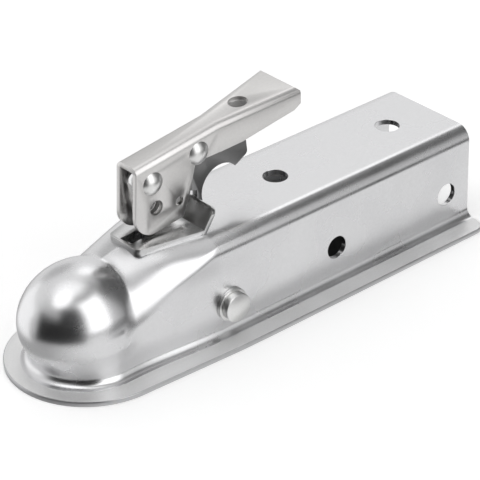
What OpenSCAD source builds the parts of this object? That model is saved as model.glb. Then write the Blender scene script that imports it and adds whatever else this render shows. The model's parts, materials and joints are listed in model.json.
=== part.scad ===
// Straight-tongue trailer coupling head: pressed ball socket and channel,
// over-centre lever with a trigger catch, and a clamp jaw under the ball.
// Millimetres. Origin at the centre of the dome and the ball, +X to the trailer, +Z up.

/* [Ball socket] */
// Diameter of the tow ball
ball_d = 50.8; // [47.6:0.1:51.6]
// Room between the ball and the dome above it
ball_gap = 3.2; // [2.8:0.1:3.4]
// How far the socket skirt's centre lies behind the ball centre
skirt_x = 7.2; // [6.6:0.2:8]

/* [Shell] */
// Sheet thickness of the pressed shell
sheet_t = 3.2; // [2.8:0.1:3.6]
// Clear width inside the channel
channel_w = 63.6; // [62:0.2:66]
// Height of the channel's top face above the ball centre
roof_z = 32.9; // [32.5:0.1:34]
// Depth of the flange's underside below the ball centre
skirt_depth = 28.7; // [28.2:0.1:31]
// Distance from ball centre to the open rear end
rear_x = 265.7; // [260:0.1:280]
// Width of the stiffening flange outside the wall
flange_w = 16.6; // [15:0.2:18]
// Outside radius of the bends along the channel's top edges
roof_bend_r = 9; // [7:0.5:10]
// Where the full channel section begins behind the neck
neck_x = 65.2; // [64.4:0.2:68]

/* [Bolt holes] */
// Diameter of the two holes in the top face
top_hole_d = 14.6; // [13:0.1:16]
// Position of the first top hole
top_hole_x = 144.7; // [138:0.1:150]
// Diameter of the cross holes in the side walls
side_hole_d = 13.8; // [13:0.1:15]
// Position of the first cross hole
side_hole_x = 159.7; // [155:0.1:166]
// Height of the cross holes from the ball centre
side_hole_z = -4.9; // [-7:0.1:-2]
// Distance between the holes of each pair
hole_pitch = 88; // [84:0.5:92]

/* [Lever] */
// Sheet thickness of the lever
lever_t = 3; // [2.5:0.1:3.2]
// Outside width of the lever at its pivots
lever_w = 16.8; // [16.4:0.2:18]
// Outside width at the end of the handle
grip_w = 34; // [30:0.5:38]
// Reach of the handle behind the lever pivot
grip_reach = 99.5; // [94:0.5:104]
// Height of the lever pivot above the channel's top face
pivot_rise = 35; // [34.5:0.1:36]
// Diameter of the rivet shanks
rivet_d = 10; // [9:0.2:10.4]
// Diameter of the rivet heads
rivet_head_d = 13.6; // [13:0.2:14.4]

/* [Link and jaw] */
// Thickness of the latch link
link_t = 5; // [4:0.2:6]
// Thickness of the saddle plate
saddle_t = 2.6; // [2.2:0.1:2.6]
// Width of the clamp jaw
jaw_w = 22; // [20:0.5:24]
// Diameter of the jaw's cross pin
cross_pin_d = 12; // [11:0.5:13]
// Diameter of the cross pin's head
cross_head_d = 17; // [16.4:0.2:19]

/* [Trigger] */
// Thickness of the trigger plate
trigger_t = 4; // [3.4:0.2:4.4]
// Spring wire thickness
wire_d = 1.2; // [1:0.1:1.3]

/* [Hidden] */
$fn = 64;
eps = 0.01;
run_gap = 0.05;              // radial clearance of a pin in its bore
side_gap = 0.1;              // clearance beside a turning plate
r_ball = ball_d / 2;
r_in = r_ball + ball_gap;    // socket inside
r_out = r_in + sheet_t;      // dome outside
half_in = channel_w / 2;
half_out = half_in + sheet_t;
floor_z = -skirt_depth;
flange_top = floor_z + sheet_t;
fillet_r = 5;                // wall to flange
shoulder_z = 11.4;           // top of the straight skirt wall
shoulder_r = 4.5;
flange_half = half_out + flange_w;
flange_nose_r = flange_half - 3.4;  // the flange widens from its nose to its full width
flange_nose_x = skirt_x + 1.4;
flange_full_x = flange_nose_x + 70;
rear_corner_r = 8;
slot_half = link_t / 2 + 1.7;
slot_x = [38.2, 63.2];       // slot for the link in the roof
// Pivots in the XZ plane
lever_pin = [49.7, roof_z + pivot_rise];
trigger_pin = lever_pin + [32.5, 6.6];
cross_pin = [80.2, -8.4];
jaw_pin = [56.2, -2.1];
link_pin_d = 9;
link_eye_r = 9;
spacer_r = 7.5;
spring_room = 7.5;           // width of the jaw spring's place beside the jaw
bush_r = 8.2;
clip_t = 1.3;
link_clip_y = jaw_w / 2 + 4.6;  // outer side of the link pin's groove, beyond the spring's leg
lock_hole = [1.8, -15.4];    // padlock hole, from the lever pivot
lock_hole_r = 4.4;
clip_hole = [17.9, -17.4];   // small cross hole behind it
clip_hole_r = 2.75;
grip_hole_x = 68;
grip_hole_r = 5.6;
// Lever form, measured from the lever pivot
web_slope = 0.125;
web_front = -10.8;
web_front_z = 12.3;
cam_c = [-0.5, -18.5];       // centre of the rounded heel
cam_r = 12;
cheek_rear = [20.7, -28];
finger_c = [48, -21.5];
finger_r = 23.3;
flare_from = 47;             // the handle starts to widen here
lever_half = lever_w / 2;
lever_bend = 4;
grip_half = grip_w / 2;
web_rear_z = web_front_z + (grip_reach - web_front) * web_slope;
// Tab at the back of the saddle
tab_x = 73.2;
tab_lean = 34;
tab_len = 16.5;
tab_slot = [7.6, 14.3];        // slot for the catch, along the tab
tab_corner_r = 4;
saddle_front = [34.2, 12.5];  // x, half width
saddle_rear_half = 22;
// Trigger form, measured from its pivot; the leg ends in the catch
trigger_eye_r = 7.2;
trigger_corners = [[3.5, -5, 3], [36.5, -10, 3], [37.5, -15.5, 2.6], [29.8, -20.4, 2], [4, -22, 3]];
trigger_leg = [[-6, -4], [-1, -25.5], [3.2, -26.8], [3.2, -31.2], [-0.8, -31.8], [-0.8, -35.8],
               [5.5, -36.2], [8, -33], [10, -20], [7, -2]];
trigger_arc_c = [20.5, -31.1];
trigger_arc_r = 14;
// Jaw form around its two pins
jaw_outline = [[80.2, 2.1], [56.2, 5.9], [48.2, 2.9], [24, 0], [20, -10], [12, -22], [12.2, -25],
               [14, -27.4], [20, -27.8], [34, -26], [54.2, -19.6], [80.2, -18.9]];
jaw_seat_gap = 0.35;
jaw_slot_x = [44.2, 68.2];
jaw_slot_floor = -11.6;
// Slices of the neck: x, half width of the ridge, its drop below the roof, top of the wall
neck_slices = [[10.2, 13, 6, shoulder_z], [28, 15.8, 0.3, shoulder_z + 3.2],
               [46, 22.4, 0, shoulder_z + 8.3], [neck_x, half_out - 2, 0, roof_z - 3.5]];

zinc = [0.80, 0.81, 0.82];
bright = [0.86, 0.87, 0.88];
dark = [0.36, 0.36, 0.37];
steel = [0.62, 0.63, 0.65];

// Helpers

// 2D XZ profile made into a plate of width w centred on Y = 0
module xz_plate(w) rotate([90, 0, 0]) translate([0, 0, -w / 2]) linear_extrude(w) children();

// Bar along Y between two Y values
module y_bar(p, r, y0, y1) translate([p[0], y0, p[1]]) rotate([-90, 0, 0]) cylinder(r = r, h = y1 - y0);

// Ring along Y
module y_ring(p, r0, r1, y0, y1) difference() {
    y_bar(p, r1, y0, y1);
    y_bar(p, r0, y0 - 1, y1 + 1);
}

// Domed head whose flat side lies on the face y, pointing along dir (+1 or -1)
module rivet_head(p, d, h, y, dir) {
    rad = (d * d / 4 + h * h) / (2 * h);
    translate([p[0], y, p[1]]) rotate([-90 * dir, 0, 0]) intersection() {
        translate([0, 0, h - rad]) sphere(r = rad, $fn = 96);
        cylinder(r = d / 2 + 1, h = h + 1);
    }
}

// Section across the channel: rounded upper corners, flat below
module channel_section(half, top, r, low) {
    translate([-half, low]) square([2 * half, top - r - low]);
    translate([-half + r, low]) square([2 * (half - r), top - low]);
    for (s = [-1, 1]) translate([s * (half - r), top - r]) circle(r);
}

// Section made into a length of channel from x0 to x1
module along_x(x0, x1) translate([x0, 0, 0]) rotate([90, 0, 90]) linear_extrude(x1 - x0) children();

// Skirt: half-round front and straight sides, with a rounded top edge
module skirt(r, top, round_r, x1) {
    translate([skirt_x, 0, 0]) rotate([0, 0, 90]) rotate_extrude(angle = 180) {
        translate([0, floor_z]) square([r, top - round_r - floor_z]);
        translate([0, floor_z]) square([r - round_r, top - floor_z]);
        translate([r - round_r, top - round_r]) circle(round_r);
    }
    along_x(skirt_x, x1) channel_section(r, top, round_r, floor_z);
}

// One thin slice of the neck, inset by t: flat ridge on top, sloping shoulders, upright walls
module neck_slice(p, t) {
    half = half_out - t;
    translate([p[0], 0, 0]) rotate([90, 0, 90]) linear_extrude(eps) {
        for (s = [-1, 1]) {
            translate([s * (p[1] - 0.6 * t - 6), roof_z - p[2] - t - 6]) circle(6, $fn = 32);
            translate([s * (half - 2.5), p[3] - t - 2.5]) circle(2.5, $fn = 24);
        }
        translate([-half, floor_z / 2]) square([2 * half, 1]);
    }
}

// Neck as a loft over its slices
module neck(t) for (i = [0 : len(neck_slices) - 2]) hull() {
    neck_slice(neck_slices[i], t);
    neck_slice(neck_slices[i + 1], t);
}

// Shell

module shell_outside() {
    intersection() {
        sphere(r = r_out, $fn = 128);
        translate([-r_out, -r_out, floor_z + eps]) cube(2 * r_out + 2);
    }
    skirt(half_out, shoulder_z, shoulder_r, neck_x + 1);
    neck(0);
    along_x(neck_x, rear_x) channel_section(half_out, roof_z, roof_bend_r, floor_z);
}

module shell_inside() {
    sphere(r = r_in, $fn = 128);
    translate([0, 0, -eps]) skirt(half_in, shoulder_z - sheet_t, shoulder_r - 2.5, neck_x + 1);
    neck(sheet_t);
    translate([0, 0, -eps]) along_x(neck_x, rear_x + 1)
        channel_section(half_in, roof_z - sheet_t + eps, roof_bend_r - sheet_t, floor_z);
}

module flange_outline() {
    corner_x = rear_x - rear_corner_r;
    inner_half = flange_half - rear_corner_r;
    translate([flange_nose_x, 0]) circle(flange_nose_r, $fn = 128);
    for (s = [-1, 1]) {
        polygon([[flange_nose_x, 0], [flange_nose_x + 3, s * (flange_nose_r - 0.1)],
                 [flange_full_x, s * flange_half], [corner_x, s * flange_half], [corner_x, 0]]);
        translate([corner_x, s * inner_half]) circle(rear_corner_r);
    }
    translate([corner_x - 1, -inner_half]) square([rear_corner_r + 1, 2 * inner_half]);
}

// Inside bend where the wall turns out into the flange
module bend_fillet() {
    translate([skirt_x, 0, 0]) rotate([0, 0, 90]) rotate_extrude(angle = 180)
        translate([half_out, flange_top]) fillet_profile();
    for (s = [0, 1]) mirror([0, s, 0]) along_x(skirt_x, rear_x)
        translate([half_out, flange_top]) fillet_profile();
}

module fillet_profile() difference() {
    translate([-1, -1]) square(fillet_r + 1);
    translate([fillet_r, fillet_r]) circle(fillet_r);
}

module side_bore(x, z, d) y_bar([x, z], d / 2, -half_out - 5, half_out + 5);

module body_shell() color(zinc) difference() {
    union() {
        shell_outside();
        translate([0, 0, floor_z]) linear_extrude(sheet_t) flange_outline();
        bend_fillet();
    }
    shell_inside();
    for (i = [0, 1]) {
        translate([top_hole_x + i * hole_pitch, 0, roof_z - 10]) cylinder(d = top_hole_d, h = 20);
        side_bore(side_hole_x + i * hole_pitch, side_hole_z, side_hole_d);
    }
    side_bore(cross_pin[0], cross_pin[1], cross_pin_d + 2 * run_gap);
    translate([slot_x[0], -slot_half, roof_z - 12]) cube([slot_x[1] - slot_x[0], 2 * slot_half, 20]);
}

// Saddle plate: bears the lever's heel, with a tab for the trigger catch

module saddle_outline() hull() {
    for (s = [-1, 1]) translate([saddle_front[0] + 4, s * (saddle_front[1] - 4)]) circle(4);
    for (s = [-1, 1]) translate([tab_x - 0.5, s * (saddle_rear_half - 0.5)]) circle(0.5, $fn = 16);
}

module saddle_tab() {
    inner_half = saddle_rear_half - tab_corner_r;
    catch_half = trigger_t / 2 + 0.8;
    translate([tab_x - saddle_t * tan(tab_lean), 0, roof_z]) rotate([0, tab_lean, 0])
        rotate([90, 0, 90]) linear_extrude(saddle_t) difference() {
        union() {
            translate([-saddle_rear_half, 0]) square([2 * saddle_rear_half, tab_len - tab_corner_r]);
            translate([-inner_half, 0]) square([2 * inner_half, tab_len]);
            for (s = [-1, 1]) translate([s * inner_half, tab_len - tab_corner_r]) circle(tab_corner_r);
        }
        translate([-catch_half, tab_slot[0]]) square([2 * catch_half, tab_slot[1] - tab_slot[0]]);
    }
}

module saddle_plate() color(bright) difference() {
    union() {
        translate([0, 0, roof_z]) linear_extrude(saddle_t) saddle_outline();
        saddle_tab();
    }
    translate([slot_x[0] - 2, -slot_half, roof_z - 5])
        cube([slot_x[1] - slot_x[0] + 2, 2 * slot_half, 20]);
    translate([58.2, -50, roof_z - 10]) cube([60, 100, 10]);
}

// Lever

module lever_side() difference() {
    union() {
        polygon([[web_front, web_front_z], [cam_c[0] - cam_r, cam_c[1]], [cam_c[0], cam_c[1]],
                 [cam_c[0], cam_c[1] - cam_r], cheek_rear, [25, -17], [30, 1.8], [finger_c[0], 1.8],
                 [flare_from + 15, 3.9], [grip_reach - 4, 13.2], [grip_reach, 16.5],
                 [grip_reach, web_rear_z - 2], [grip_reach - 2, web_rear_z - 0.25]]);
        translate(cam_c) circle(cam_r);
    }
    translate(finger_c) circle(finger_r, $fn = 96);
}

// Half width of the lever seen from above, inset by t, as a rounded bar section
module lever_slice(x, half, t) {
    z = web_front_z + (x - web_front) * web_slope;
    r = lever_bend - t;
    translate([x, 0, z - t]) rotate([90, 0, 90]) linear_extrude(eps) union() {
        for (s = [-1, 1]) translate([s * (half - t - r), -r]) circle(r, $fn = 32);
        translate([-(half - t), -60]) square([2 * (half - t), 60 - r]);
        translate([-(half - t - r), -60]) square([2 * (half - t - r), 60]);
    }
}

module lever_envelope(t, x0, x1) {
    hull() {
        lever_slice(x0, lever_half, t);
        lever_slice(flare_from, lever_half, t);
    }
    hull() {
        lever_slice(flare_from, lever_half, t);
        lever_slice(x1, grip_half, t);
    }
}

module lever() color(zinc) translate([lever_pin[0], 0, lever_pin[1]]) difference() {
    intersection() {
        xz_plate(2 * grip_half + 2) lever_side();
        lever_envelope(0, web_front - 3, grip_reach + 0.5);
    }
    lever_envelope(lever_t, web_front - 8, grip_reach + 4);
    y_bar([0, 0], rivet_d / 2 + run_gap, -20, 20);
    y_bar(trigger_pin - lever_pin, rivet_d / 2 + run_gap, -20, 20);
    y_bar(lock_hole, lock_hole_r, -20, 20);
    y_bar(clip_hole, clip_hole_r, -20, 20);
    translate([grip_hole_x, 0, web_front_z + (grip_hole_x - web_front) * web_slope])
        rotate([0, -atan(web_slope), 0]) translate([0, 0, -10]) cylinder(r = grip_hole_r, h = 20);
}

// Trigger, drawn with its catch just drawn back from the tab

module trigger_side() difference() {
    union() {
        circle(trigger_eye_r);
        hull() for (c = trigger_corners) translate([c[0], c[1]]) circle(c[2], $fn = 32);
        polygon(trigger_leg);
    }
    translate(trigger_arc_c) circle(trigger_arc_r, $fn = 96);
}

module trigger() color(dark) translate([trigger_pin[0], 0, trigger_pin[1]]) difference() {
    xz_plate(trigger_t) trigger_side();
    y_bar([0, 0], rivet_d / 2 + run_gap, -20, 20);
}

module rivet(p, half, head_h) {
    y_bar(p, rivet_d / 2, -half - eps, half + eps);
    rivet_head(p, rivet_head_d, head_h, half, 1);
    rivet_head(p, rivet_head_d, head_h, -half, -1);
}

module lever_pivot_rivet() color(bright) rivet(lever_pin, lever_half, 2.8);
module trigger_pivot_rivet() color(bright) rivet(trigger_pin, lever_half, 2.8);

// Spacers fill the space between a turning plate and the lever's cheek
module lever_spacer()
    y_ring(lever_pin, rivet_d / 2 + run_gap, spacer_r, -lever_half + lever_t, -link_t / 2 - side_gap);
module lever_spacer_near() color(steel) lever_spacer();
module lever_spacer_far() color(steel) mirror([0, 1, 0]) lever_spacer();

module trigger_pivot_spacer() color(steel)
    y_ring(trigger_pin, rivet_d / 2 + run_gap, 7, -lever_half + lever_t, -trigger_t / 2 - side_gap);

// Torsion spring: a wire swept along a coil about Y, with a straight leg at each end.
// Angles run from +X towards +Z; the coil starts at a0 and makes the given turns.
function unit(v) = v / norm(v);
function coil_point(p, r, y0, y1, a0, turns, i) = let (a = a0 + 360 * turns * i)
    [p[0] + r * cos(a), y0 + (y1 - y0) * i, p[1] + r * sin(a)];
function coil_path(p, r, y0, y1, a0, turns, leg0, leg1) = let (
        n = round(turns * 20), a1 = a0 + 360 * turns,
        start = coil_point(p, r, y0, y1, a0, turns, 0), end = coil_point(p, r, y0, y1, a0, turns, 1))
    concat([start + leg0 * [sin(a0), 0, -cos(a0)]],
           [for (i = [0 : n]) coil_point(p, r, y0, y1, a0, turns, i / n)],
           [end + leg1 * [-sin(a1), 0, cos(a1)]]);

module wire_sweep(path, d, sides = 8) {
    last = len(path) - 1;
    points = [for (i = [0 : last]) let (
            t = unit(path[min(i + 1, last)] - path[max(i - 1, 0)]),
            u = unit(cross(t, [0, 1, 0])), v = cross(u, t))
        for (k = [0 : sides - 1]) let (a = 360 * k / sides)
            path[i] + d / 2 * (cos(a) * u + sin(a) * v)];
    faces = concat([[for (k = [0 : sides - 1]) k]],
        [for (i = [0 : last - 1], k = [0 : sides - 1])
            let (a = i * sides, b = a + sides, m = (k + 1) % sides) [a + m, a + k, b + k, b + m]],
        [[for (k = [sides - 1 : -1 : 0]) last * sides + k]]);
    polyhedron(points = points, faces = faces);
}

// The far leg bears under the lever's web, the near one along the trigger
module trigger_spring() color(steel) {
    r = rivet_d / 2 + wire_d / 2 + 0.3;
    y0 = trigger_t / 2 + 0.25 + wire_d / 2;
    y1 = lever_half - lever_t - 0.15 - wire_d / 2;
    wire_sweep(coil_path(trigger_pin, r, y0, y1, 101, 1.41, 12, 14), wire_d);
}

// Link between lever and jaw

module latch_link() color(bright) difference() {
    xz_plate(link_t) union() {
        translate(lever_pin) circle(link_eye_r);
        translate(jaw_pin) circle(7.5);
        polygon([lever_pin + [-link_eye_r, 0], jaw_pin + [-6.5, 4], jaw_pin + [6.5, 4],
                 lever_pin + [8, -18], lever_pin + [link_eye_r, 0]]);
    }
    y_bar(lever_pin, rivet_d / 2 + run_gap, -20, 20);
    y_bar(lever_pin + lock_hole, lock_hole_r, -20, 20);
    y_bar(jaw_pin, link_pin_d / 2 + run_gap, -20, 20);
}

module link_pin() color(steel) difference() {
    union() {
        y_bar(jaw_pin, link_pin_d / 2, -link_clip_y - 1.5, jaw_w / 2 + eps);
        y_bar(jaw_pin, 6.5, jaw_w / 2, jaw_w / 2 + 3);
    }
    y_ring(jaw_pin, link_pin_d / 2 - 1, link_pin_d, -link_clip_y, -link_clip_y + clip_t + 0.2);
}

// Push-on clip that sits in a pin's groove, open on one side
module groove_clip(p, shaft_r, y0, y1, open_ang) difference() {
    y_ring(p, shaft_r - 0.95, shaft_r + 3, y0, y1);
    translate([p[0], y0 - 1, p[1]]) rotate([0, open_ang, 0])
        translate([0, 0, -shaft_r * 0.75]) cube([shaft_r + 5, y1 - y0 + 2, shaft_r * 1.5]);
}

module link_pin_clip() color(dark)
    groove_clip(jaw_pin, link_pin_d / 2, -link_clip_y + 0.1, -link_clip_y + 0.1 + clip_t, 120);

// Clamp jaw: hangs on the cross pin, its spherical seat under the ball

module jaw_side() {
    translate(cross_pin) circle(10.5);
    translate(jaw_pin) circle(8);
    polygon(jaw_outline);
}

module clamp_jaw() color(steel) difference() {
    xz_plate(jaw_w) jaw_side();
    sphere(r = r_ball + jaw_seat_gap, $fn = 128);
    y_bar(cross_pin, cross_pin_d / 2 + run_gap, -40, 40);
    y_bar(jaw_pin, link_pin_d / 2 + run_gap, -40, 40);
    translate([jaw_slot_x[0], -link_t / 2 - side_gap, jaw_slot_floor])
        cube([jaw_slot_x[1] - jaw_slot_x[0], link_t + 2 * side_gap, 30]);
}

// Cross pin with a flat head on the near side

module cross_pin() color(bright) difference() {
    union() {
        y_bar(cross_pin, cross_pin_d / 2, -half_out - 2.2, half_out + 6);
        y_bar(cross_pin, cross_head_d / 2, -half_out - 6.4, -half_out - 2);
    }
    y_ring(cross_pin, cross_pin_d / 2 - 1.2, cross_pin_d, half_out + 2.6, half_out + 2.8 + clip_t);
}

module side_washer()
    y_ring(cross_pin, cross_pin_d / 2 + run_gap, cross_head_d / 2 + 1.4, half_out, half_out + 2);
module clip_washer() color(zinc) side_washer();
module head_washer() color(zinc) mirror([0, 1, 0]) side_washer();

// Bushes keep the jaw in the middle; the near one is shorter to leave room for the spring
module bush(y0) y_ring(cross_pin, cross_pin_d / 2 + run_gap, bush_r, y0, half_in);
module far_bush() color(steel) bush(jaw_w / 2 + side_gap);
module near_bush() color(steel) mirror([0, 1, 0]) bush(jaw_w / 2 + spring_room);

module cross_pin_clip() color(dark)
    groove_clip(cross_pin, cross_pin_d / 2, half_out + 2.7, half_out + 2.7 + clip_t, 60);

// One leg stands against the roof, the other lies over the link pin and pushes the jaw down
module jaw_spring() color(steel) {
    r = cross_pin_d / 2 + wire_d / 2 + 0.3;
    reach = jaw_pin - cross_pin;
    lie = atan2(reach[1], reach[0]) - acos((r - (link_pin_d + wire_d) / 2 - 0.15) / norm(reach));
    y0 = -jaw_w / 2 - spring_room + 0.4 + wire_d / 2;
    y1 = -jaw_w / 2 - 0.3 - wire_d / 2;
    turns = (lie + 4 * 360 - 180) / 360;
    roof_leg = roof_z - sheet_t - 0.4 - cross_pin[1];
    wire_sweep(coil_path(cross_pin, r, y0, y1, 180, turns, roof_leg, norm(reach) + 5), wire_d);
}

body_shell();
saddle_plate();
lever();
trigger();
trigger_spring();
lever_pivot_rivet();
lever_spacer_near();
lever_spacer_far();
trigger_pivot_rivet();
trigger_pivot_spacer();
latch_link();
link_pin();
link_pin_clip();
clamp_jaw();
cross_pin();
head_washer();
clip_washer();
near_bush();
far_bush();
cross_pin_clip();
jaw_spring();
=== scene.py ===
import json
import math

import bmesh
import bpy
import numpy as np
from mathutils import Matrix, Vector


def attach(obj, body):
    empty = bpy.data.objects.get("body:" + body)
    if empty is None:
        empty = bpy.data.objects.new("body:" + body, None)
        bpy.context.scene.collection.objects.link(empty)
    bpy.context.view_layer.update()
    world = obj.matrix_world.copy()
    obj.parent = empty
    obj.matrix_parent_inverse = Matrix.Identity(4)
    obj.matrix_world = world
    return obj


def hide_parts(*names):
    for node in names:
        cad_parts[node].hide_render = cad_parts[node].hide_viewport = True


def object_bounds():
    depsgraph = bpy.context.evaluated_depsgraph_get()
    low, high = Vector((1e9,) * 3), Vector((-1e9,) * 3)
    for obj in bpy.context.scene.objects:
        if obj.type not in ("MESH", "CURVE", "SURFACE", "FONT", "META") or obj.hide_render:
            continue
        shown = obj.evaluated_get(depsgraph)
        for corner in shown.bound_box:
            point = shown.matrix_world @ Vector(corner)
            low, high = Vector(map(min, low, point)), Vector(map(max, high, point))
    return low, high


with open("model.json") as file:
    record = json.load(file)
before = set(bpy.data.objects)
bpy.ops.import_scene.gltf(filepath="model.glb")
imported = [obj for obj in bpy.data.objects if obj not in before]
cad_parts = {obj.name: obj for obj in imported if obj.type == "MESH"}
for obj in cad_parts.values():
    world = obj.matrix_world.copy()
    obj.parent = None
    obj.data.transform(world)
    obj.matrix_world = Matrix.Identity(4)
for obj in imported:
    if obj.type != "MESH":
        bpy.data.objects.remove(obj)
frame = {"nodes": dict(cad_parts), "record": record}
CAD_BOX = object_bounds()
NODES = frame["nodes"]
RECORD = frame["record"]
MOUNTS = {mount["name"]: mount for mount in RECORD["mounts"]}
JOINTS = {joint["name"]: joint for joint in RECORD["behaviour"]["joints"]}
MM = 0.001


def in_mm(place):
    """A place from the frame, in millimetres."""
    return [round(v / MM, 4) for v in place]


# Places and sizes in millimetres, from the frame
BOX_LOW, BOX_HIGH = in_mm(CAD_BOX[0]), in_mm(CAD_BOX[1])
FLOOR = BOX_LOW[2]
REAR = BOX_HIGH[0]
FLANGE_HALF = BOX_HIGH[1]
TOP_BOLTS = in_mm(MOUNTS["top_bolts"]["pos_m"])
TOP_PITCH = MOUNTS["top_bolts"]["dims"]["spacing_x_mm"]
TOP_HOLES = (TOP_BOLTS[0] - TOP_PITCH / 2, TOP_BOLTS[0] + TOP_PITCH / 2)
TOP_HOLE_R = MOUNTS["top_bolts"]["dims"]["hole_r_mm"]
ROOF = TOP_BOLTS[2]
SIDE_HOLES = [in_mm(MOUNTS[name]["pos_m"]) for name in ("side_bolt_front", "side_bolt_rear")]
SIDE_HOLE_R = MOUNTS["side_bolt_front"]["dims"]["r_mm"]
HALF = MOUNTS["side_bolt_front"]["dims"]["length_mm"] / 2
CROSS_PIN = in_mm(JOINTS["jaw_pivot"]["pos_m"])

# Sizes of the sheet, as in the part's source
SHEET = 3.2
FILLET = 5.0
ROOF_BEND = 9.0
REAR_CORNER = 8.0
FLANGE_NOSE_X = 8.6
FLANGE_NOSE_R = FLANGE_HALF - 3.4
FLANGE_FULL_X = FLANGE_NOSE_X + 70
FLANGE_TOP = FLOOR + SHEET
WALL_LOW = FLANGE_TOP + FILLET
PIN_HOLE_R = 6.05
LINK_SLOT_X = (38.2, 63.2)
LINK_SLOT_HALF = 4.2
LINK_SLOT_Z = (25, 37)

# The head's own forms, which the solids have in a plainer way
DOME_X = 3.3
DOME_Z = 1.2
DOME_LONG = 36.9
DOME_R = 31.6
SKIRT_X = 5.6
SKIRT_TOP = 5.0
SKIRT_ROUND = 4.0
NOSE_HALF = 31.3
TAPER = (15, 75)
NECK_START = 8.0
NECK_TOP = (17, 34)
NECK_DIP = 2.3

# The shoulder is a plane: its outward direction, and its distance from the origin
SHOULDER = Vector((-0.25, 0.7226, 0.644))
SHOULDER_AT = 24.9

# Rounds of the ridge and of the fold beside it, which tighten along the neck
RIDGE_ROUND = (15.0, 7.0)
RIDGE_SPAN = (17, 50)
FOLD_ROUND = (6.5, 2.0)
FOLD_SPAN = (22, 46)

# The wall spreads a little into its fillet, and leans in under the roof's bend behind the neck
FLARE = 0.16
FLARE_HEIGHT = 9.0
LEAN = 0.9
LEAN_Z = (10, 27)
LEAN_FROM = (36, 56)
LEAN_TO = (64, 96)

# The blend between dome and body, wider low down
DOME_BLEND = (3.6, 1.6)
DOME_BLEND_Z = (-8, 2)

# The shell's mesh: sections around the nose, and then from one x to the next
CENTRE_Z = -2.0
NOSE_SECTIONS = 48
SECTIONS = [(SKIRT_X, 10, 5), (10, 20, 22), (20, 74, 30), (74, REAR - REAR_CORNER, 10),
            (REAR - REAR_CORNER, REAR, 8)]
# Rows down a section: angles kept close about the ridge and the fold, and rows in each stretch
RIDGE_ABOVE = 0.18
RIDGE_BELOW = 0.16
FOLD_ABOVE = 0.07
FOLD_BELOW = 0.09
TOP_LIMIT = 1.45
LEAST_STRETCH = 0.01
UPPER_ROWS = (12, 16, 7, 18, 12)
WALL_ROWS = 15
FILLET_ROWS = 8
# Rows across the flange, as shares of its width, and over its edge's round
FLANGE_ROWS = (0.35, 0.7)
EDGE_ROWS = 4
EDGE_ROUND = 0.5
# Where the search for the surface starts, farther out than it ever lies, and its steps
FARTHEST = 75.0
HALVINGS = 34
# Points closer than the first become one, and slivers narrower than the second go
SEAM_MERGE = 0.02
SLIVER = 0.005
# The finishes of the sheet, of its edges, which carry painted shade, and of the flange's top
SHELL_LOOKS = ("zinc_plate", "edge_painted_shade", "flange_zinc")
PLATE, EDGE, FLANGE = range(3)

# Holes widen by a small rim at each face, and their cutters go past it
RIM = 0.15
RIM_PAST = 2.0
RIM_OUT = 1.0
BAR_SIDES = 64
PIN_REACH = 40

# A node's edges are rounded above the first angle, and its faces joined below the second
SHARP_ANGLE = 35
FLAT_ANGLE = 0.4
NODE_MERGE = 0.004
NODE_SLIVER = 0.003
# Edges above these angles in degrees stay sharp in the shading
SHELL_SMOOTH = 30
PIECE_SMOOTH = 38

# The saddle plate's front, moved outward and down onto the neck that falls to the dome
SADDLE_X = (36, 62)
SADDLE_Z = (33, 35)
SADDLE_FORWARD = 1.8
SADDLE_NEAR = 1.6
SADDLE_WIDER = 0.04
SADDLE_DOWN = 1.7
# Faces whose normal points this far towards the dome get painted shade
PAINTED_SHADE_FACING = -0.6

# The table: a wide white floor, and a shade under the part
FLOOR_WIDE = 6000
FLOOR_GAP = 0.05
FLOOR_WHITE = 0.94
FLOOR_GLOW = 0.35
SHADE_X = 120
SHADE_SIZE = (286, 62)
SHADE_RISE = 0.04
SHADE_GREY = 0.07
MATT = 0.9

# The camera: azimuth, height and roll in degrees, what it looks at, and its lens
CAMERA_AZ = -40.657
CAMERA_EL = 30.908
CAMERA_ROLL = -1.143
CAMERA_TARGET = (128.2, 12.513, -8.07)
CAMERA_DISTANCE = 1433.25
SENSOR = 36
FOCAL_PIXELS = 2500
PHOTO_PIXELS = 480

# A screen is on one side of the room only, and fades in there over this cosine
FRONT_FADE = 0.12


def smooth_min(a, b, k):
    h = np.maximum(k - np.abs(a - b), 0) / k
    return np.minimum(a, b) - h * h * k / 4


def step(x, lo, hi):
    """0 below lo and 1 above hi, with a soft change between."""
    t = np.clip((x - lo) / (hi - lo), 0, 1)
    return t * t * (3 - 2 * t)


def change(x, values, span):
    """Goes softly from the first value to the second over the span."""
    return values[0] + (values[1] - values[0]) * step(x, *span)


def rounded(a, b, r):
    """Two half spaces joined by a round of radius r."""
    qa, qb = a + r, b + r
    out = np.hypot(np.maximum(qa, 0), np.maximum(qb, 0))
    return out + np.minimum(np.maximum(qa, qb), 0) - r


def half_width(x):
    """The walls draw in towards the dome."""
    return change(x, (NOSE_HALF, HALF), TAPER)


def roof_height(x):
    """The roof falls along the neck, in a curve and then straight."""
    start, end = NECK_TOP
    rise = np.clip((x - start) / (end - start), -1, 1)
    return ROOF - NECK_DIP * np.where(rise > 0, (1 - rise) ** 2, 1 - 2 * rise)


def ridge_half(x):
    """Where the shoulder's plane meets the roof."""
    return (SHOULDER_AT - SHOULDER.x * x - SHOULDER.z * roof_height(x)) / SHOULDER.y


def fold_height(x):
    """Where the shoulder's plane meets the wall."""
    return (SHOULDER_AT - SHOULDER.x * x - SHOULDER.y * half_width(x)) / SHOULDER.z


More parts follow.
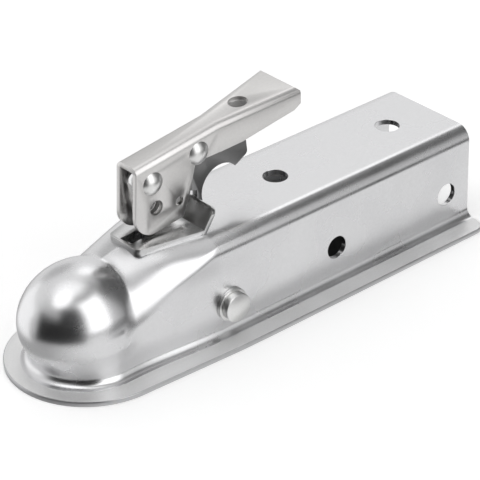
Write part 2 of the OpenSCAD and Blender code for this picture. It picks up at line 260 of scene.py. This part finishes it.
def pressing(p):
    """Signed distance to the outside of the pressed shell above the flange."""
    x, y, z = p[..., 0], p[..., 1], p[..., 2]
    ay = np.abs(y)
    dome = (np.hypot((x - DOME_X) / DOME_LONG, np.hypot(y, z - DOME_Z) / DOME_R) - 1) * DOME_R
    flare = FLARE * np.clip((WALL_LOW + FLARE_HEIGHT - z) / FLARE_HEIGHT, 0, 1) ** 2
    lean = LEAN * step(z, *LEAN_Z) * step(x, *LEAN_FROM) * (1 - step(x, *LEAN_TO))
    wall = np.hypot(np.minimum(x - SKIRT_X, 0), ay) - half_width(x) - flare + lean
    skirt = rounded(z - SKIRT_TOP, wall, SKIRT_ROUND)
    roof = z - roof_height(x)
    shoulder = SHOULDER.x * x + SHOULDER.y * ay + SHOULDER.z * z - SHOULDER_AT
    neck = rounded(shoulder, roof, change(x, RIDGE_ROUND, RIDGE_SPAN))
    neck = rounded(neck, wall, change(x, FOLD_ROUND, FOLD_SPAN))
    channel = rounded(roof, wall, ROOF_BEND)
    body = np.where(x < NECK_START, skirt, np.maximum(neck, channel))
    return smooth_min(dome, body, change(z, DOME_BLEND, DOME_BLEND_Z))


def reach(base, direction, inset):
    """How far along each ray the surface lies, by bisection."""
    lo = np.zeros(base.shape[0])
    hi = np.full(base.shape[0], FARTHEST)
    for _ in range(HALVINGS):
        mid = (lo + hi) / 2
        inside = pressing(base + mid[:, None] * direction) < -inset
        lo = np.where(inside, mid, lo)
        hi = np.where(inside, hi, mid)
    return lo


def stations():
    """Sections from the nose to the rear: x, and the outward direction in plan."""
    rows = []
    for angle in np.radians(np.linspace(180, 270, NOSE_SECTIONS)):
        rows.append((SKIRT_X, math.cos(angle), math.sin(angle)))
    for start, end, count in SECTIONS:
        rows += [(float(x), 0.0, -1.0) for x in np.linspace(start, end, count)[1:]]
    return rows


def section_angles(x):
    """Angles from the section's centre, close together where the section bends."""
    x = max(x, NECK_TOP[0])
    chamfer = (2 - math.sqrt(2)) * ROOF_BEND
    ridge_y = min(float(ridge_half(x)), HALF - chamfer)
    fold_z = min(float(fold_height(x)), ROOF - chamfer)
    ridge = math.atan2(ROOF - CENTRE_Z, ridge_y)
    fold = math.atan2(fold_z - CENTRE_Z, float(half_width(x)))
    middle = (ridge + fold) / 2
    stops = [math.pi / 2,
             min(ridge + RIDGE_ABOVE, TOP_LIMIT),
             max(ridge - RIDGE_BELOW, middle + LEAST_STRETCH),
             min(fold + FOLD_ABOVE, middle - LEAST_STRETCH),
             fold - FOLD_BELOW,
             0]
    angles = [math.pi / 2]
    for start, end, count in zip(stops, stops[1:], UPPER_ROWS):
        angles += list(np.linspace(start, end, count)[1:])
    return angles


def flange_reach(x, dx, dy):
    """How far the flange's edge lies from the middle plane, along a section's direction."""
    if x <= SKIRT_X:
        along = dx * (SKIRT_X - FLANGE_NOSE_X)
        past = (SKIRT_X - FLANGE_NOSE_X) ** 2 - FLANGE_NOSE_R ** 2
        return -along + math.sqrt(along * along - past)
    if x <= FLANGE_NOSE_X:
        return math.sqrt(FLANGE_NOSE_R ** 2 - (x - FLANGE_NOSE_X) ** 2)
    if x <= FLANGE_FULL_X:
        share = (x - FLANGE_NOSE_X) / (FLANGE_FULL_X - FLANGE_NOSE_X)
        return FLANGE_NOSE_R + (FLANGE_HALF - FLANGE_NOSE_R) * share
    corner = max(x - (REAR - REAR_CORNER), 0)
    return FLANGE_HALF - REAR_CORNER + math.sqrt(max(REAR_CORNER ** 2 - corner ** 2, 0))


def side_profile(station, inset):
    """Points from the ridge down to the flange's edge on one side of the sheet."""
    x, dx, dy = station
    angles = section_angles(x)
    rays = np.array([[math.cos(a) * dx, math.cos(a) * dy, math.sin(a)] for a in angles])
    centre = np.tile([x, 0.0, CENTRE_Z], (len(angles), 1))
    upper = centre + reach(centre, rays, inset)[:, None] * rays

    heights = np.linspace(CENTRE_Z, WALL_LOW, WALL_ROWS + 1)[1:]
    axis = np.array([[x, 0.0, z] for z in heights])
    outward = np.tile([dx, dy, 0.0], (WALL_ROWS, 1))
    far = reach(axis, outward, inset)
    wall = axis + far[:, None] * outward

    on_top = inset == 0
    root = far[-1] + inset + FILLET
    radius = FILLET if on_top else FILLET + SHEET
    face = FLANGE_TOP if on_top else FLOOR
    down = 1 if on_top else -1
    edge = flange_reach(x, dx, dy) - EDGE_ROUND
    rows = []
    for t in np.linspace(0, math.pi / 2, FILLET_ROWS + 1)[1:]:
        rows.append((root - radius * math.cos(t), WALL_LOW - radius * math.sin(t)))
    foot = rows[-1][0]
    for share in FLANGE_ROWS:
        rows.append((foot + (edge - foot) * share, face))
    for t in np.linspace(0, math.pi / 2, EDGE_ROWS):
        rows.append((edge + EDGE_ROUND * math.sin(t), face - down * EDGE_ROUND * (1 - math.cos(t))))
    low = np.array([[x + dx * out, dy * out, z] for out, z in rows])
    return np.vstack([upper, wall, low])


def shell_mesh():
    """Both sides of the sheet, joined at the flange's edge and at the rear end, and mirrored."""
    bm = bmesh.new()
    outer, inner = [
        [[bm.verts.new(Vector(p) * MM) for p in side_profile(station, inset)] for station in stations()]
        for inset in (0.0, SHEET)]
    columns, rows = len(outer), len(outer[0])
    edge_row = rows - EDGE_ROWS
    flange_row = edge_row - len(FLANGE_ROWS) - 1

    def quad(a, b, c, d, slot):
        bm.faces.new((a, b, c, d)).material_index = slot

    for i in range(columns - 1):
        for j in range(rows - 1):
            slot = EDGE if j >= edge_row else FLANGE if j >= flange_row else PLATE
            quad(outer[i][j], outer[i + 1][j], outer[i + 1][j + 1], outer[i][j + 1], slot)
            quad(inner[i][j], inner[i][j + 1], inner[i + 1][j + 1], inner[i + 1][j], PLATE)
        quad(outer[i][-1], outer[i + 1][-1], inner[i + 1][-1], inner[i][-1], EDGE)
    for j in range(rows - 1):
        quad(outer[-1][j], inner[-1][j], inner[-1][j + 1], outer[-1][j + 1], EDGE)

    half = bm.verts[:] + bm.edges[:] + bm.faces[:]
    mirrored = bmesh.ops.duplicate(bm, geom=half)["geom"]
    for item in mirrored:
        if isinstance(item, bmesh.types.BMVert):
            item.co.y = -item.co.y
    faces = [item for item in mirrored if isinstance(item, bmesh.types.BMFace)]
    bmesh.ops.reverse_faces(bm, faces=faces)
    bmesh.ops.remove_doubles(bm, verts=bm.verts[:], dist=SEAM_MERGE * MM)
    bmesh.ops.dissolve_degenerate(bm, edges=bm.edges[:], dist=SLIVER * MM)
    bmesh.ops.recalc_face_normals(bm, faces=bm.faces[:])
    return bm


def new_object(name, bm):
    mesh = bpy.data.meshes.new(name)
    bm.to_mesh(mesh)
    bm.free()
    obj = bpy.data.objects.new(name, mesh)
    bpy.context.scene.collection.objects.link(obj)
    return obj


def add_bar(bm, centre, axis, radii, heights):
    """Closed turned form: radii at heights along an axis through a centre, in millimetres."""
    turn = Vector((0, 0, 1)).rotation_difference(Vector(axis)).to_matrix()
    rings = []
    for r, h in zip(radii, heights):
        ring = []
        for k in range(BAR_SIDES):
            a = 2 * math.pi * k / BAR_SIDES
            point = Vector(centre) + turn @ Vector((r * math.cos(a), r * math.sin(a), h))
            ring.append(bm.verts.new(point * MM))
        rings.append(ring)
    for low, high in zip(rings, rings[1:]):
        for k in range(BAR_SIDES):
            n = (k + 1) % BAR_SIDES
            bm.faces.new((low[k], low[n], high[n], high[k]))
    bm.faces.new(rings[0][::-1])
    bm.faces.new(rings[-1])


def add_hole(bm, centre, axis, r, low, high):
    """A hole's cutter, from one face of the sheet to the other."""
    rim = r + RIM
    radii = [rim + RIM_OUT, rim, r, r, rim, rim + RIM_OUT]
    heights = [low - RIM_PAST, low, low + RIM, high - RIM, high, high + RIM_PAST]
    add_bar(bm, centre, axis, radii, heights)


def box_matrix(centre, size):
    """Turns a unit cube or square into a box or plate, sizes in millimetres."""
    return Matrix.Translation(Vector(centre) * MM) @ Matrix.Diagonal([v * MM for v in size] + [1])


def cut(obj, cutter):
    mod = obj.modifiers.new("holes", "BOOLEAN")
    mod.operation = "DIFFERENCE"
    mod.solver = "EXACT"
    mod.object = cutter
    bpy.context.view_layer.objects.active = obj
    with bpy.context.temp_override(object=obj, active_object=obj):
        bpy.ops.object.modifier_apply(modifier=mod.name)
    bpy.data.objects.remove(cutter)


def smooth(obj, angle):
    obj.data.shade_smooth()
    obj.data.set_sharp_from_angle(angle=math.radians(angle))


def link_slot():
    """Centre and size of the slot that lets the link through the roof."""
    spans = (LINK_SLOT_X, (-LINK_SLOT_HALF, LINK_SLOT_HALF), LINK_SLOT_Z)
    return [(a + b) / 2 for a, b in spans], [b - a for a, b in spans]


def build_shell():
    shell = new_object("shell_pressing", shell_mesh())
    for look in SHELL_LOOKS:
        shell.data.materials.append(MATERIALS[look])
    bm = bmesh.new()
    for x in TOP_HOLES:
        add_hole(bm, (x, 0, 0), (0, 0, 1), TOP_HOLE_R, ROOF - SHEET, ROOF)
    for centre in SIDE_HOLES:
        for side in (-1, 1):
            add_hole(bm, centre, (0, side, 0), SIDE_HOLE_R, HALF - SHEET, HALF)
    add_bar(bm, CROSS_PIN, (0, 1, 0), [PIN_HOLE_R, PIN_HOLE_R], [-PIN_REACH, PIN_REACH])
    bmesh.ops.create_cube(bm, size=1, matrix=box_matrix(*link_slot()))
    bmesh.ops.recalc_face_normals(bm, faces=bm.faces[:])
    cut(shell, new_object("shell_cutter", bm))
    smooth(shell, SHELL_SMOOTH)
    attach(shell, "shell")
    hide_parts("body_shell")


def add_noise(tree, scale, detail):
    """Noise in the object's own space."""
    coord = tree.nodes.new("ShaderNodeTexCoord")
    noise = tree.nodes.new("ShaderNodeTexNoise")
    noise.inputs["Scale"].default_value = scale
    noise.inputs["Detail"].default_value = detail
    tree.links.new(coord.outputs["Object"], noise.inputs["Vector"])
    return noise.outputs["Fac"]


def metal(name, colour, rough, grain=0.25, grain_scale=900.0, cloud=0.05, metallic=1.0):
    """Plated steel: fine grain in colour and surface, and slow clouds in the gloss."""
    mat = bpy.data.materials.new(name)
    mat.use_nodes = True
    tree = mat.node_tree
    nodes, links = tree.nodes, tree.links
    bsdf = nodes["Principled BSDF"]
    bsdf.inputs["Metallic"].default_value = metallic
    fine = add_noise(tree, grain_scale, detail=3.0)
    slow = add_noise(tree, 28.0, detail=4.0)

    gloss = nodes.new("ShaderNodeMapRange")
    limits = {"From Min": 0.3, "From Max": 0.7, "To Min": rough - cloud, "To Max": rough + cloud}
    for key, value in limits.items():
        gloss.inputs[key].default_value = value
    links.new(slow, gloss.inputs["Value"])
    links.new(gloss.outputs["Result"], bsdf.inputs["Roughness"])

    contrast, offset = 0.45, 0.27
    calm = nodes.new("ShaderNodeMath")
    calm.operation = "MULTIPLY_ADD"
    calm.inputs[1].default_value = contrast
    calm.inputs[2].default_value = offset
    links.new(fine, calm.inputs[0])
    ramp = nodes.new("ShaderNodeValToRGB")
    for stop, position, gain in zip(ramp.color_ramp.elements, (0.30, 0.72), (0.93, 1.04)):
        stop.position = position
        stop.color = [min(c * gain, 1) for c in colour] + [1]
    links.new(calm.outputs["Value"], ramp.inputs["Fac"])
    links.new(ramp.outputs["Color"], bsdf.inputs["Base Color"])

    bump = nodes.new("ShaderNodeBump")
    bump.inputs["Strength"].default_value = grain
    bump.inputs["Distance"].default_value = 0.03 * MM
    links.new(fine, bump.inputs["Height"])
    links.new(bump.outputs["Normal"], bsdf.inputs["Normal"])
    return mat


FINISHES = {
    "zinc_plate": dict(colour=(0.80, 0.80, 0.81), rough=0.27),
    "bright_zinc": dict(colour=(0.84, 0.84, 0.84), rough=0.17, grain=0.15, cloud=0.04),
    "flange_zinc": dict(colour=(0.92, 0.92, 0.92), rough=0.5, grain=0.3, cloud=0.07, metallic=0.55),
    # The sheet's edges get painted shade: darker, as where they reflect the shaded table near the part
    "edge_painted_shade": dict(colour=(0.56, 0.56, 0.57), rough=0.36, grain=0.6, grain_scale=400.0, cloud=0.08),
    "lever_zinc": dict(colour=(0.74, 0.73, 0.72), rough=0.34, grain=0.35, grain_scale=700.0),
    # Painted shade on the saddle plate's faces towards the dome
    "tab_painted_shade": dict(colour=(0.36, 0.36, 0.36), rough=0.30, grain=0.4),
    "rivet_zinc": dict(colour=(0.88, 0.88, 0.87), rough=0.34, grain=0.2, cloud=0.04),
    "saddle_zinc": dict(colour=(0.68, 0.68, 0.68), rough=0.28, grain=0.3, grain_scale=600.0),
    # Dark steel for the clips, and painted shade for the trigger, which sits shaded under the lever
    "dark_steel": dict(colour=(0.30, 0.30, 0.30), rough=0.42, grain=0.4),
    "plain_steel": dict(colour=(0.55, 0.55, 0.55), rough=0.38, grain=0.4, grain_scale=500.0),
    "spring_steel": dict(colour=(0.45, 0.45, 0.46), rough=0.28, grain=0.15),
}
MATERIALS = {name: metal(name, **finish) for name, finish in FINISHES.items()}

# Each node's finish
LOOKS = {
    "body_shell": "zinc_plate",
    "saddle_plate": "saddle_zinc",
    "lever": "lever_zinc",
    "lever_pivot_rivet": "rivet_zinc",
    "lever_spacer_near": "plain_steel",
    "lever_spacer_far": "plain_steel",
    # The trigger gets painted shade: darker because it lies shaded under the lever
    "trigger": "dark_steel",
    "trigger_pivot_rivet": "rivet_zinc",
    "trigger_pivot_spacer": "plain_steel",
    "trigger_spring": "spring_steel",
    "latch_link": "bright_zinc",
    "link_pin": "plain_steel",
    "link_pin_clip": "dark_steel",
    "clamp_jaw": "plain_steel",
    "jaw_spring": "spring_steel",
    "cross_pin": "rivet_zinc",
    "head_washer": "rivet_zinc",
    "near_bush": "plain_steel",
    "far_bush": "plain_steel",
    "clip_washer": "bright_zinc",
    "cross_pin_clip": "dark_steel",
}

# Nodes whose sharp edges get a small round, by body, with its width in millimetres
EDGED = {
    "shell": {"saddle_plate": 0.55, "cross_pin": 0.8, "head_washer": 0.3, "clip_washer": 0.3},
    "handle": {"lever": 0.4},
    "link": {"latch_link": 0.4},
    "trigger": {"trigger": 0.35},
    "jaw": {"clamp_jaw": 0.6},
}


def saddle_front(x, y, z):
    """The saddle plate's front reaches further out, and down onto the falling neck."""
    front = 1 - float(step(x, *SADDLE_X))
    low = 1 - float(step(z, *SADDLE_Z))
    y += (SADDLE_WIDER * y - SADDLE_NEAR) * front
    return x - SADDLE_FORWARD * front, y, z - SADDLE_DOWN * front * low


RESHAPED = {"saddle_plate": saddle_front}


def paint_front_shade(piece):
    """The saddle plate's faces towards the dome get a dark grey: painted shade from the lever and trigger
    in front of them.
    """
    piece.data.materials.append(MATERIALS["tab_painted_shade"])
    for face in piece.data.polygons:
        if face.normal.x < PAINTED_SHADE_FACING:
            face.material_index = 1


def dress(obj, look):
    if not obj.material_slots:
        obj.data.materials.append(None)
    for slot in obj.material_slots:
        slot.material = MATERIALS[look]


def refine(name, body, width):
    """The node's own form with a small round on its sharp edges, standing in for the node."""
    node = NODES[name]
    points = [v.co / MM for v in node.data.vertices]
    if name in RESHAPED:
        points = [Vector(RESHAPED[name](*p)) for p in points]
    bm = bmesh.new()
    verts = [bm.verts.new(p * MM) for p in points]
    for face in node.data.polygons:
        bm.faces.new([verts[i] for i in face.vertices])
    bmesh.ops.remove_doubles(bm, verts=bm.verts[:], dist=NODE_MERGE * MM)
    bmesh.ops.dissolve_degenerate(bm, edges=bm.edges[:], dist=NODE_SLIVER * MM)
    bmesh.ops.recalc_face_normals(bm, faces=bm.faces[:])
    bmesh.ops.dissolve_limit(bm, angle_limit=math.radians(FLAT_ANGLE), verts=bm.verts[:], edges=bm.edges[:])
    least = math.radians(SHARP_ANGLE)
    sharp = [e for e in bm.edges if len(e.link_faces) == 2 and e.calc_face_angle(0) > least]
    bmesh.ops.bevel(bm, geom=sharp, offset=width * MM, segments=2, profile=0.5, affect="EDGES",
                    clamp_overlap=True)
    piece = new_object(name + "_edged", bm)
    piece.matrix_world = node.matrix_world.copy()
    smooth(piece, PIECE_SMOOTH)
    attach(piece, body)
    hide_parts(name)
    return piece


def build_pieces():
    for name, look in LOOKS.items():
        dress(NODES[name], look)
    for body, widths in EDGED.items():
        for name, width in widths.items():
            piece = refine(name, body, width)
            dress(piece, LOOKS[name])
            if name == "saddle_plate":
                # The saddle's faces towards the dome get painted shade
                paint_front_shade(piece)


def aim(az, el=0.0):
    """Direction from azimuth and height in degrees, azimuth 0 along +X and 90 along +Y."""
    az, el = math.radians(az), math.radians(el)
    return Vector((math.cos(el) * math.cos(az), math.cos(el) * math.sin(az), math.sin(el)))


class Studio:
    """World shader: a pale room with soft boxes and dark screens that the metal reflects."""

    def __init__(self, tree):
        self.nodes, self.links = tree.nodes, tree.links
        coord = self.nodes.new("ShaderNodeTexCoord")
        self.direction = coord.outputs["Generated"]
        self.height = self.dot((0, 0, 1))
        self.level = None

    def feed(self, socket, value):
        """Gives a socket a number, or links it."""
        if isinstance(value, (int, float)):
            socket.default_value = value
        else:
            self.links.new(value, socket)

    def calc(self, kind, *values):
        node = self.nodes.new("ShaderNodeMath")
        node.operation = kind
        for socket, value in zip(node.inputs, values):
            self.feed(socket, value)
        return node.outputs["Value"]

    def dot(self, direction):
        node = self.nodes.new("ShaderNodeVectorMath")
        node.operation = "DOT_PRODUCT"
        self.links.new(self.direction, node.inputs[0])
        node.inputs[1].default_value = direction
        return node.outputs["Value"]

    def ramp(self, value, lo, hi, out_lo=0.0, out_hi=1.0):
        node = self.nodes.new("ShaderNodeMapRange")
        node.interpolation_type = "SMOOTHSTEP"
        self.links.new(value, node.inputs["Value"])
        for key, v in (("From Min", lo), ("From Max", hi), ("To Min", out_lo), ("To Max", out_hi)):
            node.inputs[key].default_value = v
        return node.outputs["Result"]

    def blend(self, mask, level):
        """The room's level goes to a new one where mask is 1."""
        node = self.nodes.new("ShaderNodeMix")
        self.links.new(mask, node.inputs["Factor"])
        self.feed(node.inputs["A"], self.level)
        self.feed(node.inputs["B"], level)
        self.level = node.outputs["Result"]

    def screen(self, level, az, half, low, high, soft):
        """A window of azimuths and heights that fades over soft, all in degrees."""
        fade = math.sin(math.radians(soft))
        edge = math.sin(math.radians(half))
        side = self.calc("ABSOLUTE", self.dot(aim(az + 90)))
        mask = self.ramp(side, edge - fade, edge + fade, 1.0, 0.0)
        mask = self.calc("MULTIPLY", mask, self.ramp(self.dot(aim(az)), 0.0, FRONT_FADE))
        lo, hi = math.sin(math.radians(low)), math.sin(math.radians(high))
        mask = self.calc("MULTIPLY", mask, self.ramp(self.height, lo - fade, lo + fade))
        mask = self.calc("MULTIPLY", mask, self.ramp(self.height, hi - fade, hi + fade, 1.0, 0.0))
        self.blend(mask, level)

    def spot(self, level, az, el, inner, outer):
        """A round box, full inside the inner angle and gone at the outer one, in degrees."""
        inner_cos, outer_cos = math.cos(math.radians(inner)), math.cos(math.radians(outer))
        self.blend(self.ramp(self.dot(aim(az, el)), outer_cos, inner_cos), level)


def light_room(studio):
    """The room and the table, then soft boxes and screens, the later ones over the earlier."""
    studio.level = studio.ramp(studio.dot(aim(-130)), -0.3, 0.65, out_lo=0.80, out_hi=0.42)
    table = studio.ramp(studio.dot(aim(-60)), -0.5, 0.7, out_lo=0.42, out_hi=0.87)
    studio.blend(studio.ramp(studio.height, -0.32, -0.14, out_lo=1.0, out_hi=0.0), table)
    # Overhead boxes and the one on the far side
    studio.spot(1.25, az=-190, el=89, inner=4, outer=18)
    studio.spot(1.2, az=-225, el=76, inner=10, outer=24)
    studio.screen(1.1, az=115, half=26, low=-28, high=23, soft=5)
    # Dark and grey screens around the nose and the near side
    studio.screen(0.02, az=-157, half=41, low=-22, high=30, soft=4)
    studio.screen(0.02, az=-128, half=21, low=-22, high=50, soft=4)
    studio.screen(0.28, az=-60, half=22, low=60, high=70, soft=3)
    studio.screen(0.5, az=-53, half=13, low=6, high=47, soft=4)
    studio.screen(0.09, az=-17, half=25, low=-6, high=58, soft=4)
    # Boxes behind the far side, which the roof and the lever's top reflect
    studio.spot(0.48, az=74, el=27, inner=6, outer=20)
    studio.spot(0.9, az=48, el=31, inner=5, outer=12)
    studio.spot(1.5, az=37, el=49, inner=5, outer=14)
    # The whitest boxes, and a dark strip low on the near side
    studio.spot(1.6, az=-178, el=66, inner=12, outer=20)
    studio.screen(1.7, az=-83, half=18, low=-5, high=58, soft=3)
    studio.screen(0.08, az=-44, half=25, low=-21, high=-4, soft=2.5)


def build_world():
    world = bpy.data.worlds.new("studio")
    bpy.context.scene.world = world
    world.use_nodes = True
    studio = Studio(world.node_tree)
    light_room(studio)
    nodes, links = studio.nodes, studio.links
    path = nodes.new("ShaderNodeLightPath")
    studio.blend(path.outputs["Is Camera Ray"], 1.0)
    back = nodes["Background"]
    back.inputs["Color"].default_value = (1, 1, 1, 1)
    links.new(studio.level, back.inputs["Strength"])


def matt(name, grey):
    """A plain surface without gloss."""
    mat = bpy.data.materials.new(name)
    mat.use_nodes = True
    bsdf = mat.node_tree.nodes["Principled BSDF"]
    bsdf.inputs["Base Color"].default_value = (grey, grey, grey, 1)
    bsdf.inputs["Roughness"].default_value = MATT
    bsdf.inputs["Specular IOR Level"].default_value = 0.0
    return mat


def build_plane(name, centre, size, mat):
    """A flat piece of the studio, which isn't part of the object."""
    bm = bmesh.new()
    bmesh.ops.create_grid(bm, x_segments=1, y_segments=1, size=0.5, matrix=box_matrix(centre, (*size, 1)))
    plane = new_object(name, bm)
    plane.data.materials.append(mat)
    return plane


def build_floor():
    """A white floor that also glows a little towards the camera."""
    mat = matt("studio_floor", FLOOR_WHITE)
    nodes, links = mat.node_tree.nodes, mat.node_tree.links
    bsdf = nodes["Principled BSDF"]
    bsdf.inputs["Emission Color"].default_value = (1, 1, 1, 1)
    path = nodes.new("ShaderNodeLightPath")
    glow = nodes.new("ShaderNodeMath")
    glow.operation = "MULTIPLY"
    glow.inputs[1].default_value = FLOOR_GLOW
    links.new(path.outputs["Is Camera Ray"], glow.inputs[0])
    links.new(glow.outputs["Value"], bsdf.inputs["Emission Strength"])
    floor = build_plane("studio_floor", (0, 0, FLOOR - FLOOR_GAP), (FLOOR_WIDE, FLOOR_WIDE), mat)
    floor.visible_glossy = False


def build_shade():
    """The table under the part lies in its shade."""
    centre = (SHADE_X, 0, FLOOR + SHADE_RISE)
    build_plane("studio_shade", centre, SHADE_SIZE, matt("studio_shade", SHADE_GREY))


def build_camera():
    """The photo's camera, fitted to the part's edges and holes."""
    az, el, roll = (math.radians(v) for v in (CAMERA_AZ, CAMERA_EL, CAMERA_ROLL))
    back = Vector((math.sin(az) * math.cos(el), -math.cos(az) * math.cos(el), math.sin(el)))
    level = Vector((math.cos(az), math.sin(az), 0))
    rise = back.cross(level)
    right = math.cos(roll) * level + math.sin(roll) * rise
    up = -math.sin(roll) * level + math.cos(roll) * rise
    data = bpy.data.cameras.new("camera")
    data.sensor_width = SENSOR
    data.lens = SENSOR * FOCAL_PIXELS / PHOTO_PIXELS
    data.clip_start = 0.05
    data.clip_end = 20
    camera = bpy.data.objects.new("camera", data)
    place = Vector(CAMERA_TARGET) * MM + back * CAMERA_DISTANCE * MM
    camera.matrix_world = Matrix.Translation(place) @ Matrix((right, up, back)).transposed().to_4x4()
    bpy.context.scene.collection.objects.link(camera)
    bpy.context.scene.camera = camera


build_camera()
build_shell()
build_pieces()
build_world()
build_floor()
build_shade()
bpy.context.scene.view_settings.view_transform = "Standard"
